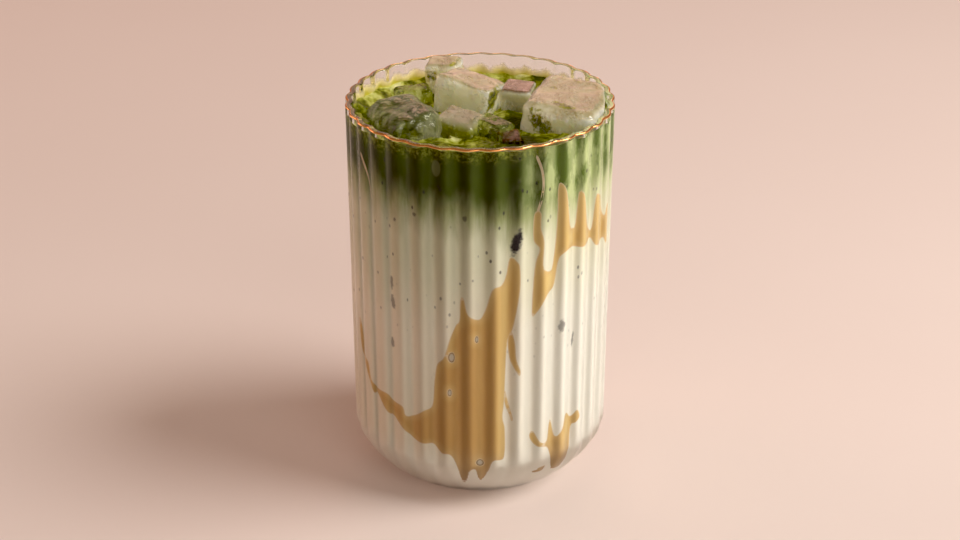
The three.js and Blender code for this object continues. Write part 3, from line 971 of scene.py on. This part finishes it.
DROP = [
    (23, 25), (24.8, 26.2), (28, 22), (31.3, 21.3), (32.6, 26.7), (34, 28.2), (36.4, 22.3), (40, 23.8),
    (42, 28.6), (46, 26.7), (49.7, 28), (51.6, 25), (49, 23.6), (46.4, 23), (45.4, 15), (43, 9.5),
    (39.5, 9), (36, 12), (32, 18.7), (27, 20.4), (24, 22.8),
]
DRIBBLES = [
    [(12.4, 59), (13.2, 53), (15, 49.5), (17.4, 46.5), (18, 48), (16.2, 52), (15.4, 58), (14, 61.5)],
    [(10.4, 40), (11.4, 36.5), (13, 34), (14.3, 31.2), (14.9, 32), (13.6, 35.8), (12.2, 39.6), (11, 42)],
    [(26, 11), (29, 12.4), (32, 12.2), (31, 10.6), (28, 9.8)],
    [
        (24.3, 115.8), (26.2, 111.8), (27, 107.5), (26.4, 103.2), (25, 99.4), (25.8, 99), (27.4, 103),
        (28, 107.5), (27.2, 112), (25.2, 116),
    ],
    [
        (-61.6, 110), (-58.8, 106), (-56.4, 102), (-54, 98), (-53.5, 98.2), (-55.6, 102.4), (-58, 106.4),
        (-60.9, 110.3),
    ],
]


def smooth_loop(corners):
    """A closed curve through the corners, as points a short step apart, across and up in millimetres."""
    flat = [Vector((math.radians(a) * SHEET_RADIUS, z)) for a, z in corners]
    count = len(flat)
    path = []
    for i in range(count):
        before, start, end, after = (flat[(i + k) % count] for k in (-1, 0, 1, 2))
        steps = max(2, round((end - start).length / OUTLINE_STEP))
        for k in range(steps):
            t = k / steps
            curve = 2 * start + (end - before) * t
            curve += (2 * before - 5 * start + 4 * end - after) * t**2
            curve += (3 * start - before - 3 * end + after) * t**3
            path.append(curve / 2)
    return path


def inside_loop(point, loop):
    x, y = point
    hit = False
    for (ax, ay), (bx, by) in zip(loop, loop[1:] + loop[:1]):
        if (ay > y) != (by > y) and x < (bx - ax) * (y - ay) / (by - ay) + ax:
            hit = not hit
    return hit


def inside_patch(point, loops):
    """Whether a point lies inside the outline, which is the first loop, and in no hole."""
    return inside_loop(point, loops[0]) and not any(inside_loop(point, hole) for hole in loops[1:])


def wall_patch(name, corners, holes, material):
    """A sheet against the inside of the wall, with rounded holes at (angle, height, width, height)."""
    loops = [[tuple(p) for p in smooth_loop(corners)]]
    for angle, z, wide, tall in holes:
        centre = Vector((math.radians(angle) * SHEET_RADIUS, z))
        ring = []
        for k in range(HOLE_CORNERS):
            turn = 2 * math.pi * k / HOLE_CORNERS
            ring.append(tuple(centre + Vector((wide / 2 * math.cos(turn), tall / 2 * math.sin(turn)))))
        loops.append(ring)
    edge = np.array([p for loop in loops for p in loop])
    low, high = edge.min(0), edge.max(0)
    column = 2 * math.pi * SHEET_RADIUS / (RIBS * SAMPLES_PER_RIB)
    inner_points = []
    for i in range(math.ceil(low[0] / column), math.floor(high[0] / column) + 1):
        for j in range(math.ceil(low[1]), math.floor(high[1]) + 1):
            spot = np.array((i * column, j))
            if np.hypot(*(edge - spot).T).min() > EDGE_CLEARANCE and inside_patch(spot, loops):
                inner_points.append(Vector(spot))
    flat = [Vector(p) for loop in loops for p in loop] + inner_points
    edges = []
    start = 0
    for loop in loops:
        edges += [(start + k, start + (k + 1) % len(loop)) for k in range(len(loop))]
        start += len(loop)
    points, _, faces, _, _, _ = geometry.delaunay_2d_cdt(flat, edges, [], 1, 1e-5)
    kept_faces = []
    for face in faces:
        middle = sum((points[i] for i in face), Vector((0, 0))) / len(face)
        if inside_patch(middle, loops):
            kept_faces.append(tuple(face))
    distance = [np.hypot(*(edge - np.array(p)).T).min() for p in points]
    front, back = [], []
    for point, away in zip(points, distance):
        angle = point.x / SHEET_RADIUS
        z = point.y
        crown = 1 - math.exp(-away / CROWN_REACH)
        radius = inner_radius(angle, z)
        bite = WETTING + SYRUP_BITE + (SYRUP_WETTING - WETTING) * crown
        front.append(on_wheel(radius + bite, angle, z))
        back.append(on_wheel(radius - SYRUP_EDGE - (SYRUP_THICKNESS - SYRUP_EDGE) * crown, angle, z))
    made = new_piece(name, front + back, closed_sheet(kept_faces, len(points)), material)
    shade = made.data.attributes.new("edge_distance", "FLOAT", "POINT")
    shade.data.foreach_set("value", distance + distance)
    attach(made, "root")
    return made


caramel = Finish("caramel syrup")
caramel_place = caramel.place()
caramel_x, caramel_y, caramel_height = caramel.parts(caramel_place)
from_edge = caramel.node("ShaderNodeAttribute", {"attribute_name": "edge_distance"}, output="Fac")
caramel_streak = caramel.cloud(caramel.stretched(caramel_place, (1, 1, 0.25)), 5, 3)
# To the right the syrup is paler, partly its own tone and partly painted light. There each rib is painted
# with a lit half and a shaded half: painted light and shade.
caramel_lit = rib_wave(caramel, caramel_x, caramel_y, LIT_SHIFT)
deep_caramel = caramel.mix(caramel_streak, (0.55, 0.315, 0.105), (0.68, 0.43, 0.165))
rib_lit_caramel = caramel.mix(caramel_lit, (0.58, 0.36, 0.12), (0.78, 0.58, 0.24))
rightward_caramel = caramel.mix(caramel.between(caramel_x, -4, 14), deep_caramel, rib_lit_caramel)
thin_caramel = caramel.mix(caramel_streak, (0.62, 0.40, 0.15), (0.76, 0.55, 0.25))
edge_share = caramel.between(from_edge + caramel_streak, 0.6, 3.2)
caramel_body = caramel.mix(edge_share, thin_caramel, rightward_caramel)
milky_caramel = caramel.mix(caramel.between(caramel_height, 25, 12), caramel_body, (0.60, 0.40, 0.20))
caramel_tone = caramel.mix(caramel.between(from_edge, -0.15, 0.5), (0.78, 0.64, 0.45), milky_caramel)
caramel_shader = caramel.principled(
    Base_Color=caramel_tone,
    Roughness=0.4,
    IOR=1.4,
    Specular_IOR_Level=0.1,
    Normal=caramel.bump(rib_wave(caramel, caramel_x, caramel_y), RIB_RELIEF),
)
caramel_material = caramel.surface(caramel_shader)
swirl = wall_patch("caramel_swirl", SWIRL, SWIRL_BUBBLES, caramel_material)
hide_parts("syrup_swirl")
ribbon = wall_patch("caramel_ribbon", RIBBON, [], caramel_material)
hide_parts("syrup_ribbon")
drop = wall_patch("caramel_drop", DROP, [], caramel_material)
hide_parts("syrup_drop")
for number, corners in enumerate(DRIBBLES):
    dribble = wall_patch("caramel_dribble_%d" % (number + 1), corners, [], caramel_material)
